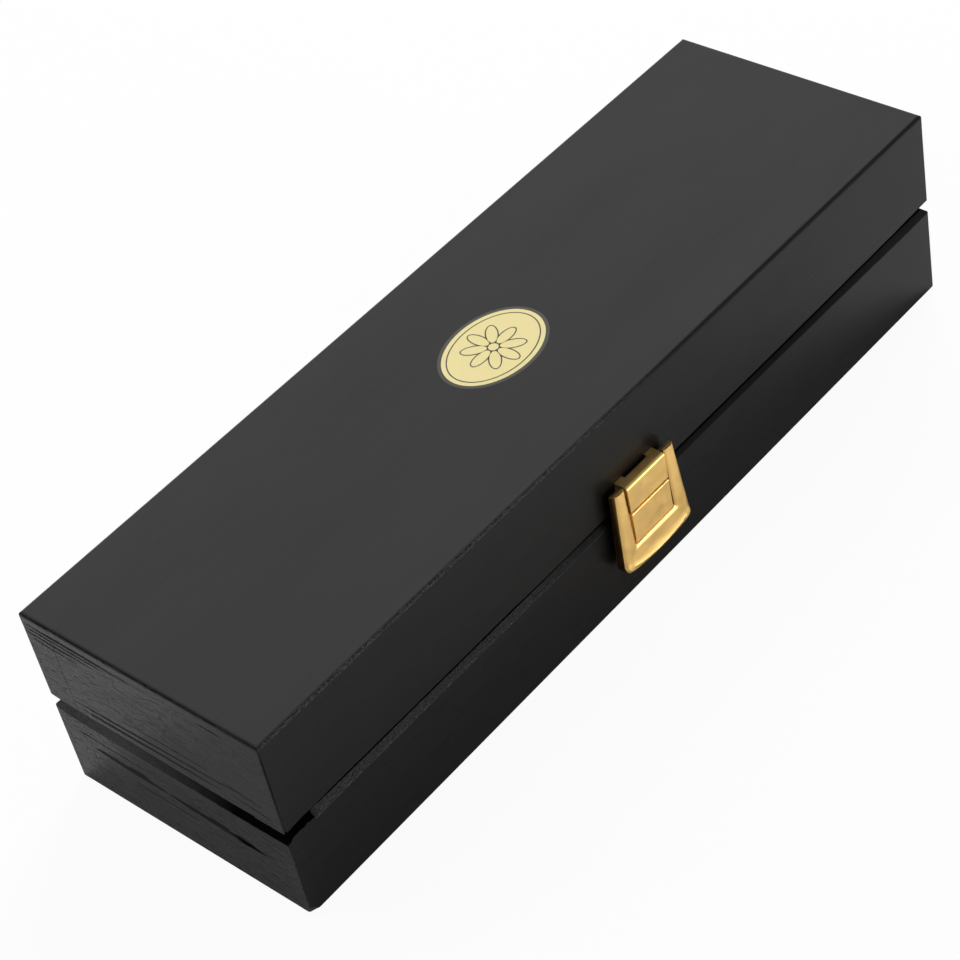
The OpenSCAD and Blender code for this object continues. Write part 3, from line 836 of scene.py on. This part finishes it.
@dataclass
class WoodCase:
    """The ten painted boards of the base and the lid."""

    bench: Bench
    # Widths of the eased edges, and the least turns of an edge and of a corner
    corner_r: float = 0.45
    arris_r: float = 0.16
    joint_v: float = 0.08
    rim_r: float = 0.2
    least_turn: float = 20.0
    corner_turn: float = 60.0
    # What counts as a side, as slanted, as outside and as the seam
    side: float = 0.99
    slant: Pair = (0.1, 0.995)
    outer_reach: float = 2.6
    seam_reach: float = 3.4
    at_split: float = 0.05
    slack: float = 1.0
    # Heights from the split: painted shadow fills the seam up to the first, the arris's painted highlight
    # starts at the second
    shadow_line: float = 0.7
    arris_from: float = 1.95
    # Height up to which the bottom bevels get the same matt black, and where the painted shade on the
    # front's left corner bevel ends
    black_bottom_height: float = 0.4
    corner_shade_end: float = -121.2
    # The painted highlight on the top front arris: its depth, and the forward part of its normals
    highlight_band: float = 2.0
    highlight_turn: float = 0.5
    # A bevel that leans halfway up is painted like its side
    lean: float = 0.9
    # Where the boards are cut, so that the seam's edges can wander
    bevel_d: float = 2.1
    cut_step: float = 6.5
    end_cuts: tuple[float, ...] = (-20.0, -8.0, 14.0)
    corner_cuts: tuple[float, ...] = (
        -128.6, -127.8, -127.0, -126.0, -124.6, -123.4, -122.4, -121.7, -120.8
    )
    clear_of_hasp: float = 9.0
    wear: Triple = (3.6, 1.3, 3.0)
    base_arris: Arris = Arris(
        26.5,
        (
            (-130, -0.9), (-128.6, 0.7), (-127.8, 1.2), (-127, 0.95), (-126, 1.15), (-124.6, 0.75),
            (-123.4, 0.95), (-122.4, 0.55), (-121.7, 0.85), (-120.8, -0.2), (-110, -0.1), (-48, 0.05),
            (-12, 0.35), (24, 0.5), (64, 0.55), (88, 0.35), (112, 0.0), (130, 0.0),
        ),
        ((-40, -1.3), (-30, -1.6), (-20, -1.6), (-8, -1.3), (34, -1.2), (40, 0.0)),
    )
    lid_arris: Arris = Arris(
        30.7,
        (
            (-130, -1.2), (-126, -0.5), (-118, -0.3), (-48, -0.3), (-38, -0.6), (-20, -0.62),
            (20, -0.5), (66, -0.48), (92, -0.33), (112, -0.2), (130, 0.0),
        ),
        ((-40, -1.2), (-16, -1.4), (-8, -1.3), (14, -0.8), (34, -0.8), (40, 0.0)),
    )
    wandering: tuple[str, ...] = ("front_wall", "back_wall", "left_end")
    walls: tuple[str, ...] = ("front_wall", "back_wall", "left_end", "right_end")

    def outside(self, face: bmesh.types.BMFace) -> bool:
        """Tells whether a face lies on the outside of the box.

        Args:
            face: A board's face.

        Returns:
            True for the outer faces, the seam's bevels and the rounded top edge.
        """
        centre = face.calc_center_median() / MM
        offs = (abs(centre.x), abs(centre.y), abs(centre.z - BOX_H / 2))
        for part, size, off in zip(face.normal, (BOX_L, BOX_W, BOX_H), offs):
            if abs(part) > self.side:
                return size / 2 - off < TOUCH
        return inward(centre) < self.outer_reach

    def weigh(self, edge: bmesh.types.BMEdge) -> float:
        """Gives the outer corners and the glued joints their bevel weights.

        Args:
            edge: An edge of a board.

        Returns:
            Its weight, where 1 stands for the corners' width.
        """
        outer = [self.outside(face) for face in edge.link_faces]
        if all(outer):
            square = edge.calc_face_angle() > math.radians(self.corner_turn)
            return 1.0 if square else self.arris_r / self.corner_r
        first, last = (vert.co / MM for vert in edge.verts)
        middle = (first + last) / 2
        seam = abs(middle.z - SPLIT_Z) < self.at_split
        if any(outer) and seam and inward(middle) < self.outer_reach:
            return self.rim_r / self.corner_r
        # The joints show only towards the back
        if any(outer) and abs(first.x - last.x) < self.slack and middle.y > 0:
            return self.joint_v / self.corner_r
        return 0.0

    def cut(self, piece: Object, at: Vector, normal: Triple) -> None:
        """Cuts every face of a board along the plane at a point and keeps both sides."""
        with opened(piece):
            bpy.ops.mesh.bisect(plane_co=at, plane_no=normal)

    def uneven_bevel(self, piece: Object, arris: Arris) -> None:
        """Lets the edge of a board's bevel wander as the photograph shows it.

        Args:
            piece: The merged copy of a board.
            arris: The course of its edge.
        """
        reach = BOX_L / 2 - self.bevel_d
        steps = int(2 * reach / self.cut_step)
        start = max(self.corner_cuts) + self.slack
        places = [-reach + 2 * reach * step / steps for step in range(1, steps)]
        places = [x for x in places if abs(x) > self.clear_of_hasp and x > start]
        spans = [vert.co.x / MM for vert in piece.data.vertices]
        if max(spans) - min(spans) > BOX_L - self.slack and piece.data.vertices[0].co.y < 0:
            for x in (*self.corner_cuts, *places):
                self.cut(piece, mm(x, 0, 0), (1, 0, 0))
        for y in self.end_cuts:
            self.cut(piece, mm(0, y, 0), (0, 1, 0))
        for vert in piece.data.vertices:
            place = vert.co / MM
            if abs(place.z - arris.level) < TOUCH:
                vert.co.z += arris.shift(place) * MM

    def worn_corner(self, piece: Object) -> None:
        """Takes the tip off the base's front left corner, where the box was set down hard.

        Args:
            piece: The base's front wall.
        """
        long, deep, high = self.wear
        with opened(piece):
            bpy.ops.mesh.bisect(
                plane_co=mm(long - BOX_L / 2, -BOX_W / 2, 0),
                plane_no=(-1 / long, -1 / deep, -1 / high),
                use_fill=True,
                clear_outer=True,
            )

    def coat(self, place: Vector, sizes: list[float]) -> Coat:
        """Chooses the coat of a face.

        Args:
            place: The face's centre.
            sizes: The parts of its normal along X, Y and Z, without their signs.

        Returns:
            The coat.
        """
        near = inward(place) < self.outer_reach + self.slack
        up = abs(place.z - SPLIT_Z)
        ran = place.y < 0 and place.x < self.corner_shade_end and sizes[1] > sizes[0]
        if self.slant[0] < sizes[2] < self.slant[1]:
            # Painted shadow in the seam under the lid's edge, and the same matt black on the bottom
            # bevels
            if near and (up < self.shadow_line or place.z < self.black_bottom_height):
                return Coat.JOINT
            # Painted shade on the front's seam bevel at its left corner
            if ran and 0 < SPLIT_Z - place.z < self.seam_reach:
                return Coat.JOINT
            # Painted light on the left end's seam bevel
            if up < self.seam_reach and place.x < self.outer_reach - BOX_L / 2 and sizes[0] > sizes[1]:
                return Coat.END_SEAM
            # Painted light on the front's seam bevels, with a painted highlight on the base's arris
            # further from the split
            if up < self.seam_reach and place.y < self.outer_reach - BOX_W / 2:
                return Coat.SEAM if up < self.arris_from else Coat.ARRIS
            # Painted highlight along the top front arris
            top = place.z > BOX_H - self.slack and place.y < self.highlight_band - BOX_W / 2
            if top and sizes[1] > self.highlight_turn:
                return Coat.ARRIS
        sides = [sizes[0], sizes[1], self.lean * sizes[2]]
        return Coat(sides.index(max(sides)))

    def paint(self, piece: Object) -> None:
        """Paints a board, each face with its own coat.

        Args:
            piece: The finished board.
        """
        piece.data.materials.clear()
        for coat in Coat:
            piece.data.materials.append(self.bench.finishes.coats[coat])
        for face in piece.data.polygons:
            sizes = [abs(part) for part in face.normal]
            face.material_index = self.coat(face.center / MM, sizes).value

    def board(self, body: Body, part: str) -> None:
        """Makes one board from its CAD solid, its edges eased as with fine paper.

        Args:
            body: The body that it rides on.
            part: The CAD node's name without the body's.
        """
        name = f"{body.value}_{part}"
        piece = copy_node(self.bench.node(name), name + "_painted")
        if part in self.wandering:
            self.uneven_bevel(piece, self.base_arris if body is Body.BASE else self.lid_arris)
        if name == "base_front_wall":
            self.worn_corner(piece)
        if body is Body.BASE:
            # Cut where the painted shadow in the seam ends, so that its edge runs straight
            self.cut(piece, mm(0, 0, SPLIT_Z - self.shadow_line), (0, 0, 1))
        bevel(piece, self.corner_r, 3, self.least_turn, self.weigh, clamp=part not in self.wandering)
        smooth(piece)
        level_flats(piece)
        self.paint(piece)
        fit_out(piece, body, None, (name,))

    def build(self) -> None:
        """Makes all boards."""
        for body, flat in ((Body.BASE, "bottom_board"), (Body.LID, "top_board")):
            for part in (*self.walls, flat):
                self.board(body, part)


@dataclass(frozen=True)
class Streak:
    """A run of open pores across the left end, from one place in Y and Z to another."""

    y0: float
    z0: float
    y1: float
    z1: float
    width: float


@dataclass
class GrainMarks:
    """The dark streaks where the end's open grain took no paint, as slivers of the bare filler."""

    bench: Bench
    thick: float = 0.02
    bed: float = 0.03
    step: float = 0.002
    points: int = 20
    # The smaller slivers of a streak: how many, and the shares of its length and width they may take
    slivers: int = 5
    begin: Pair = (0.0, 0.55)
    end: float = 0.97
    long: Pair = (0.2, 0.5)
    wide: Pair = (0.4, 0.8)
    off: Pair = (-0.7, 0.7)
    lid: tuple[Streak, ...] = (
        Streak(39.0, 56.2, 2.0, 55.6, 0.7), Streak(39.0, 54.9, 12.0, 54.4, 0.45),
        Streak(39.0, 53.4, 16.0, 53.0, 0.55), Streak(37.0, 51.6, 22.0, 51.3, 0.3),
        Streak(-20.0, 55.6, -27.0, 55.4, 0.5), Streak(30.0, 34.0, -26.0, 35.6, 0.55),
        Streak(28.0, 32.2, -20.0, 32.8, 0.6), Streak(12.0, 37.6, -18.0, 38.0, 0.25),
        Streak(-22.0, 36.6, -34.0, 35.4, 0.3), Streak(-24.0, 33.4, -37.0, 32.2, 0.28),
    )
    base: tuple[Streak, ...] = (
        Streak(29.0, 17.2, 3.0, 16.4, 1.5), Streak(3.0, 16.4, -28.0, 15.0, 1.6),
        Streak(-19.0, 15.5, -29.5, 14.9, 1.3), Streak(34.0, 21.0, 8.0, 20.6, 0.3),
        Streak(16.0, 12.6, -6.0, 12.2, 0.25),
    )

    def sliver(self, start: Vector, stop: Vector, width: float) -> Object:
        """Makes one sliver, pointed at both of its ends.

        Args:
            start: One end on the box's left end.
            stop: Its other end.
            width: Its width in the middle.

        Returns:
            The sliver, closed all round.
        """
        way = stop - start
        on_edge = Euler((math.pi / 2, 0, math.pi / 2)).to_matrix()
        turn = Matrix.Rotation(math.atan2(way.z, way.y), 3, "X") @ on_edge
        place = (start + stop) / 2 - Vector((self.thick, 0, 0))
        push = Vector((self.thick + self.bed, 0, 0))
        return oval_slab((way.length / 2, width / 2), turn.to_euler(), place, push, self.points)

    def streak(self, streak: Streak) -> list[Object]:
        """Makes one streak of overlapping slivers.

        Args:
            streak: Its place and width.

        Returns:
            Its slivers.
        """
        start = Vector((-BOX_L / 2, streak.y0, streak.z0))
        way = Vector((0, streak.y1 - streak.y0, streak.z1 - streak.z0))
        made = [self.sliver(start, start + way, streak.width)]
        for index in range(self.slivers):
            begin = random.uniform(*self.begin)
            off = Vector((0, 0, random.uniform(*self.off) * streak.width))
            first = start + way * begin + off
            last = start + way * min(self.end, begin + random.uniform(*self.long)) + off
            lift = Vector((self.step * (index + 1), 0, 0))
            made.append(self.sliver(first + lift, last + lift, streak.width * random.uniform(*self.wide)))
        return made

    def build(self) -> None:
        """Makes the streaks of the lid and of the base."""
        for body, streaks in ((Body.LID, self.lid), (Body.BASE, self.base)):
            made = [sliver for streak in streaks for sliver in self.streak(streak)]
            piece = join(body.value + "_end_grain_streaks", made)
            fit_out(piece, body, self.bench.finishes.pores)


@dataclass
class Medallion:
    """An oval foil stamping at the middle of the lid: a bordered field with a plain rosette."""

    bench: Bench
    centre_y: float = 1.0
    length: float = 33.0
    width: float = 25.0
    thick: float = 0.02
    step: float = 0.008
    border: float = 1.0
    line_in: float = 2.2
    line_w: float = 0.35
    petals: int = 8
    petal_l: float = 7.4
    petal_w: float = 3.6
    petal_off: float = 1.3
    heart_r: float = 1.7
    rim_points: int = 96
    petal_points: int = 32

    def layer(
        self, level: int, length: float, width: float, off: Pair = (0.0, 0.0), turn: float = 0.0
    ) -> Object:
        """Makes one oval layer of foil.

        Args:
            level: Its place in the stack of foils.
            length: Its length.
            width: Its width.
            off: Its centre from the medallion's.
            turn: Its turn about its own centre, in radians.

        Returns:
            The layer, closed all round.
        """
        place = Vector((off[0], self.centre_y + off[1], BOX_H))
        push = Vector((0, 0, self.thick + self.step * level))
        points = self.rim_points if length > self.petal_l else self.petal_points
        return oval_slab((length / 2, width / 2), Euler((0, 0, turn)), place, push, points)

    def rosette(self, level: int, inset: float) -> list[Object]:
        """Makes one layer of the rosette's petals and heart.

        Args:
            level: The layer's place in the stack.
            inset: How much smaller than the outline.

        Returns:
            Its layers.
        """
        layers = []
        long, wide = self.petal_l - 2 * inset, self.petal_w - 2 * inset
        reach = self.petal_off + self.petal_l / 2
        for index in range(self.petals):
            angle = 2 * math.pi * index / self.petals
            off = (reach * math.cos(angle), reach * math.sin(angle))
            layers.append(self.layer(level, long, wide, off, angle))
        heart = 2 * (self.heart_r - inset)
        layers.append(self.layer(level + 2, heart, heart))
        return layers

    def build(self) -> None:
        """Makes the outline, the gold field, its fine line and the rosette."""
        # Dark and gold layers by turns, each a little further in than the one below
        insets = (0.0, self.border, self.line_in, self.line_in + self.line_w)
        stack = [
            self.layer(level, self.length - 2 * inset, self.width - 2 * inset)
            for level, inset in enumerate(insets)
        ]
        lines = [*stack[0::2], *self.rosette(4, 0.0)]
        gold = [*stack[1::2], *self.rosette(5, self.line_w)]
        finishes = self.bench.finishes
        fit_out(join("lid_medallion_lines", lines), Body.LID, finishes.foil_edge)
        fit_out(join("lid_medallion_gold", gold), Body.LID, finishes.foil)


@dataclass
class Linings:
    """The velvet tray of the base and the padded lining of the lid."""

    bench: Bench
    tray_top: float = 25.0
    rim_r: float = 1.1
    rim_turn: float = 30.0
    pad_low: float = 46.7
    pad_high: float = 53.7
    pad_l: float = 238.4
    pad_w: float = 58.4
    pad_r: float = 2.4
    pad_swell: float = 1.0
    pad_settle: float = 1.6
    pad_fill: float = 0.7
    card_gap: float = 0.05
    voxel: float = 1.9
    pressure: float = 4.0
    cloth_steps: int = 20

    def rim(self, edge: bmesh.types.BMEdge) -> float:
        """The bevel weight of a tray's edge: 1 round its hollows and along its top."""
        return float(min(vert.co.z for vert in edge.verts) > (self.tray_top - 0.1) * MM)

    def tray(self) -> None:
        """Makes the velvet-covered tray, with the rims of its hollows rounded by the cloth."""
        piece = copy_node(self.bench.node("tray_insert"), "tray_velvet")
        bevel(piece, self.rim_r, 4, self.rim_turn, self.rim)
        smooth(piece, degrees=40.0)
        fit_out(piece, Body.BASE, self.bench.finishes.velvet, ("tray_insert",))

    def pad(self) -> None:
        """Makes the lid's pad: velvet over soft foam, crowned, and held flat on its card."""
        deselect()
        bpy.ops.mesh.primitive_cube_add(size=1.0, location=mm(0, 0, (self.pad_low + self.pad_high) / 2))
        piece = bpy.context.active_object
        piece.name = "lid_pad_velvet"
        swell = self.pad_swell
        high = self.pad_high - self.pad_low - self.pad_settle * swell
        piece.scale = mm(self.pad_l - 2 * swell, self.pad_w - 2 * swell, high)
        settle(piece)
        edge = piece.modifiers.new("edge", "BEVEL")
        edge.width = self.pad_r * MM
        edge.segments = 3
        remesh = piece.modifiers.new("remesh", "REMESH")
        remesh.mode = "VOXEL"
        remesh.voxel_size = self.voxel * MM
        apply_modifiers(piece)
        self.puff(piece)
        finer = piece.modifiers.new("finer", "SUBSURF")
        finer.levels = 1
        finer.render_levels = 1
        apply_modifiers(piece)
        low = (self.pad_low + self.card_gap) * MM
        for vert in piece.data.vertices:
            vert.co.z = max(low, min(self.pad_high * MM, vert.co.z))
        smooth(piece, degrees=60.0)
        fit_out(piece, Body.LID, self.bench.finishes.velvet, ("lid_pad",))

    def puff(self, piece: Object) -> None:
        """Swells the pad's cover as cloth under pressure.

        Args:
            piece: The remeshed pad.
        """
        start = [vert.co.copy() for vert in piece.data.vertices]
        cloth = piece.modifiers.new("cloth", "CLOTH")
        cloth.settings.use_pressure = True
        cloth.settings.uniform_pressure_force = self.pressure
        cloth.settings.effector_weights.gravity = 0.0
        cloth.settings.quality = 5
        scene = bpy.context.scene
        for step in range(1, self.cloth_steps + 1):
            scene.frame_set(step)
        apply_modifiers(piece)
        scene.frame_set(1)
        cap = self.pad_swell * MM
        for vert, at in zip(piece.data.vertices, start):
            move = vert.co - at
            if move.length > cap:
                vert.co = at + move.normalized() * cap

    def build(self) -> None:
        """Makes both linings."""
        self.tray()
        self.pad()
        self.bench.dress("lid_pad_card", self.bench.finishes.card)


@dataclass
class SnapHasp:
    """The gold hasp: bracket, cover plate, frame, riding plate and keeper."""

    bench: Bench
    edge_r: float = 0.14
    least_turn: float = 28.0
    # The frame's front face leans back from this place at the top of the arms
    front_y: float = -43.85
    front_slope: float = 0.0445
    arm_top: float = 37.95
    # The lip that the lower rim curls out to, over the band of depths that it takes in
    lip_out: float = 0.75
    lip_top: float = 15.6
    lip_fade: float = 1.5
    lip_band: Pair = (0.05, 1.3)
    # Below the first height the rim is drawn up by this share
    rim_from: float = 13.0
    rim_rise: float = 0.58
    # The painted shade goes on the gaps nearer the middle than this, and on the flanks further out
    gap_reach: float = 8.6
    gap_side: float = 0.9
    flank_side: float = 0.8

    def curl_lip(self, piece: Object) -> None:
        """Curls the frame's lower rim out to a lip for a fingertip.

        Args:
            piece: The merged copy of the frame.
        """
        for vert in piece.data.vertices:
            _, y, z = vert.co / MM
            deep = y - self.front_y + self.front_slope * (self.arm_top - z)
            share = max(0.0, min(1.0, (self.lip_top - z) / self.lip_fade))
            if self.lip_band[0] < deep < self.lip_band[1]:
                vert.co.y -= self.lip_out * share * MM
            vert.co.z += max(0.0, self.rim_from - z) * self.rim_rise * MM

    def paint_frame_shade(self, piece: Object) -> None:
        """Paints shade on the frame: dark brown gold in the gaps beside the plates, and darker gold on
        its flanks.

        Args:
            piece: The finished frame.
        """
        finishes = self.bench.finishes
        for material in (finishes.gap_shade, finishes.flank_shade):
            piece.data.materials.append(material)
        for face in piece.data.polygons:
            x = abs(face.center.x) / MM
            outward = face.normal.x * face.center.x > self.flank_side * abs(face.center.x)
            # Painted shade on the walls of the gaps
            if x < self.gap_reach and abs(face.normal.x) > self.gap_side:
                face.material_index = 1
            # Painted shade on the outer flanks
            elif x > self.gap_reach and outward:
                face.material_index = 2

    def plated(self, name: str, body: Body) -> Object:
        """Makes one plated part from its CAD solid, its edges rounded by the tumbling.

        Args:
            name: The CAD node.
            body: The body that it rides on.

        Returns:
            The finished part.
        """
        piece = copy_node(self.bench.node(name), name + "_plated")
        if name == "hasp_frame":
            self.curl_lip(piece)
        bevel(piece, self.edge_r, 3, self.least_turn)
        smooth(piece, degrees=40.0)
        fit_out(piece, body, self.bench.finishes.gold, (name,))
        return piece

    def build(self) -> None:
        """Makes the plated parts and dresses the small ones."""
        self.paint_frame_shade(self.plated("hasp_frame", Body.HASP))
        self.plated("hasp_insert_plate", Body.HASP)
        self.plated("hasp_cover_plate", Body.LID)
        finishes = self.bench.finishes
        for name in ("hasp_bracket", "keeper_plate"):
            self.bench.dress(name, finishes.gold)
        for name in ("hasp_bracket_screws", "keeper_screws", "keeper_rivets"):
            self.bench.dress(name, finishes.screws)
        self.bench.dress("hasp_stub_pins", finishes.brass)
        self.bench.dress("keeper_spring", finishes.bronze)


@dataclass
class Hinges:
    """The two butt hinges and their screws."""

    bench: Bench
    sides: tuple[str, ...] = ("left", "right")
    parts: tuple[str, ...] = ("base_leaf", "lid_leaf", "pin")

    def build(self) -> None:
        """Dresses the leaves, pins and screws."""
        for side in self.sides:
            for part in self.parts:
                self.bench.dress(f"{side}_hinge_{part}", self.bench.finishes.brass)
        for body in (Body.BASE, Body.LID):
            self.bench.dress(body.value + "_hinge_screws", self.bench.finishes.screws)


@dataclass(frozen=True)
class Lamp:
    """A soft square lamp: its name, watts, side and place in metres, and whether gloss shows it."""

    name: str
    power: float
    size: float
    place: Triple
    mirrored: bool


@dataclass
class Studio:
    """A white floor and surround, soft lamps and the camera."""

    lens: float = 100.63
    sensor: float = 36.0
    eye: Triple = (-346.39, -384.24, 488.05)
    turn: Triple = (46.9059, 9.6327, -49.6384)
    shift: Pair = (0.0006, 0.0012)
    clip: Pair = (0.01, 50.0)
    # The floor's side in metres, and how far it lies under the box
    floor_size: float = 12.0
    floor_drop: float = 0.1
    # The share of the floor that the camera sees as plain white, over the shadow on its paper
    floor_white: float = 0.94
    paper: str = "#E6E6E6"
    # The surround's light on rough surfaces, and what gloss sees of it, from its dim to its bright side
    ambient: float = 0.23
    bright: float = 0.96
    bright_side: Triple = (0.27, 0.55, 0.79)
    dim_from: float = 0.4
    bright_from: float = 1.02
    dim: float = 0.08
    aim: float = 30.0
    lamps: tuple[Lamp, ...] = (
        Lamp("key_lamp", 26.0, 0.8, (1.2, 0.55, 1.0), False),
        Lamp("fill_lamp", 27.0, 0.9, (0.45, -1.5, 0.12), True),
        Lamp("small_lamp", 0.9, 0.22, (-0.3, 0.3, 0.3), False),
    )

    def camera(self) -> None:
        """Makes the camera at the photograph's angle."""
        data = bpy.data.cameras.new("camera")
        data.lens = self.lens
        data.sensor_width = self.sensor
        data.shift_x, data.shift_y = self.shift
        data.clip_start, data.clip_end = self.clip
        camera = bpy.data.objects.new("camera", data)
        camera.location = mm(*self.eye)
        camera.rotation_euler = [math.radians(angle) for angle in self.turn]
        bpy.context.scene.collection.objects.link(camera)
        bpy.context.scene.camera = camera

    def floor(self) -> None:
        """Makes the white floor: paper that the camera sees near white and that keeps a faint shadow."""
        deselect()
        bpy.ops.mesh.primitive_plane_add(size=self.floor_size, location=mm(0, 0, -self.floor_drop))
        piece = bpy.context.active_object
        piece.name = "studio_floor"
        settle(piece)
        material = bpy.data.materials.new("white_paper_floor")
        material.use_nodes = True
        tree = material.node_tree
        tree.nodes.clear()
        path = add_node(tree, "LightPath")
        share = add_node(tree, "Math", {
            "operation": "MULTIPLY", 0: path.outputs["Is Camera Ray"], 1: self.floor_white,
        })
        paper = add_node(tree, "BsdfDiffuse", {"Color": linear(self.paper)})
        white = add_node(tree, "Emission", {"Strength": 1.0})
        mix = add_node(tree, "MixShader", {0: share, 1: paper, 2: white})
        add_node(tree, "OutputMaterial", {"Surface": mix})
        piece.data.materials.append(material)

    def surround(self) -> None:
        """Makes the white surround, which reflections see fade away from its bright side."""
        world = bpy.data.worlds.new("white_surround")
        bpy.context.scene.world = world
        world.use_nodes = True
        tree = world.node_tree
        tree.nodes.clear()
        path = add_node(tree, "LightPath")
        gloss, glass = path.outputs["Is Glossy Ray"], path.outputs["Is Transmission Ray"]
        mirrored = add_node(tree, "Math", {"operation": "MAXIMUM", 0: gloss, 1: glass})
        way = add_node(tree, "TexCoord")
        towards = add_node(tree, "VectorMath", {
            "operation": "DOT_PRODUCT", 0: way.outputs["Generated"],
            1: Vector(self.bright_side).normalized(),
        })
        backdrop = add_node(tree, "MapRange", {
            "interpolation_type": "SMOOTHSTEP", "Value": towards.outputs["Value"],
            "From Min": self.dim_from, "From Max": self.bright_from,
            "To Min": self.dim, "To Max": self.bright,
        })
        light = add_node(tree, "Mix", {0: mirrored, MIX_A: self.ambient, MIX_B: backdrop})
        strength = add_node(tree, "Mix", {0: path.outputs["Is Camera Ray"], MIX_A: light, MIX_B: 1.0})
        white = add_node(tree, "Background", {"Color": (1, 1, 1, 1), "Strength": strength})
        add_node(tree, "OutputWorld", {"Surface": white})

    def hang(self, lamp: Lamp) -> None:
        """Hangs a lamp that points at the box.

        Args:
            lamp: What it is and where.
        """
        data = bpy.data.lights.new(lamp.name, "AREA")
        data.energy = lamp.power
        data.size = lamp.size
        light = bpy.data.objects.new(lamp.name, data)
        light.location = lamp.place
        way = Vector(lamp.place) - mm(0, 0, self.aim)
        light.rotation_euler = way.to_track_quat("Z", "Y").to_euler()
        light.visible_glossy = lamp.mirrored
        bpy.context.scene.collection.objects.link(light)

    def build(self) -> None:
        """Makes the studio."""
        bpy.context.scene.view_settings.view_transform = "Standard"
        self.camera()
        self.floor()
        self.surround()
        for lamp in self.lamps:
            self.hang(lamp)


def main() -> None:
    """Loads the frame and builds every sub-assembly over it."""
    logging.basicConfig(level=logging.INFO, format="%(name)s: %(message)s")
    random.seed(SEED)
    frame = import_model()
    Studio().build()
    bench = Bench(frame, Finishes())
    for assembly in (WoodCase, GrainMarks, Medallion, Linings, SnapHasp, Hinges):
        assembly(bench).build()
    deselect()


if __name__ == "__main__":
    main()
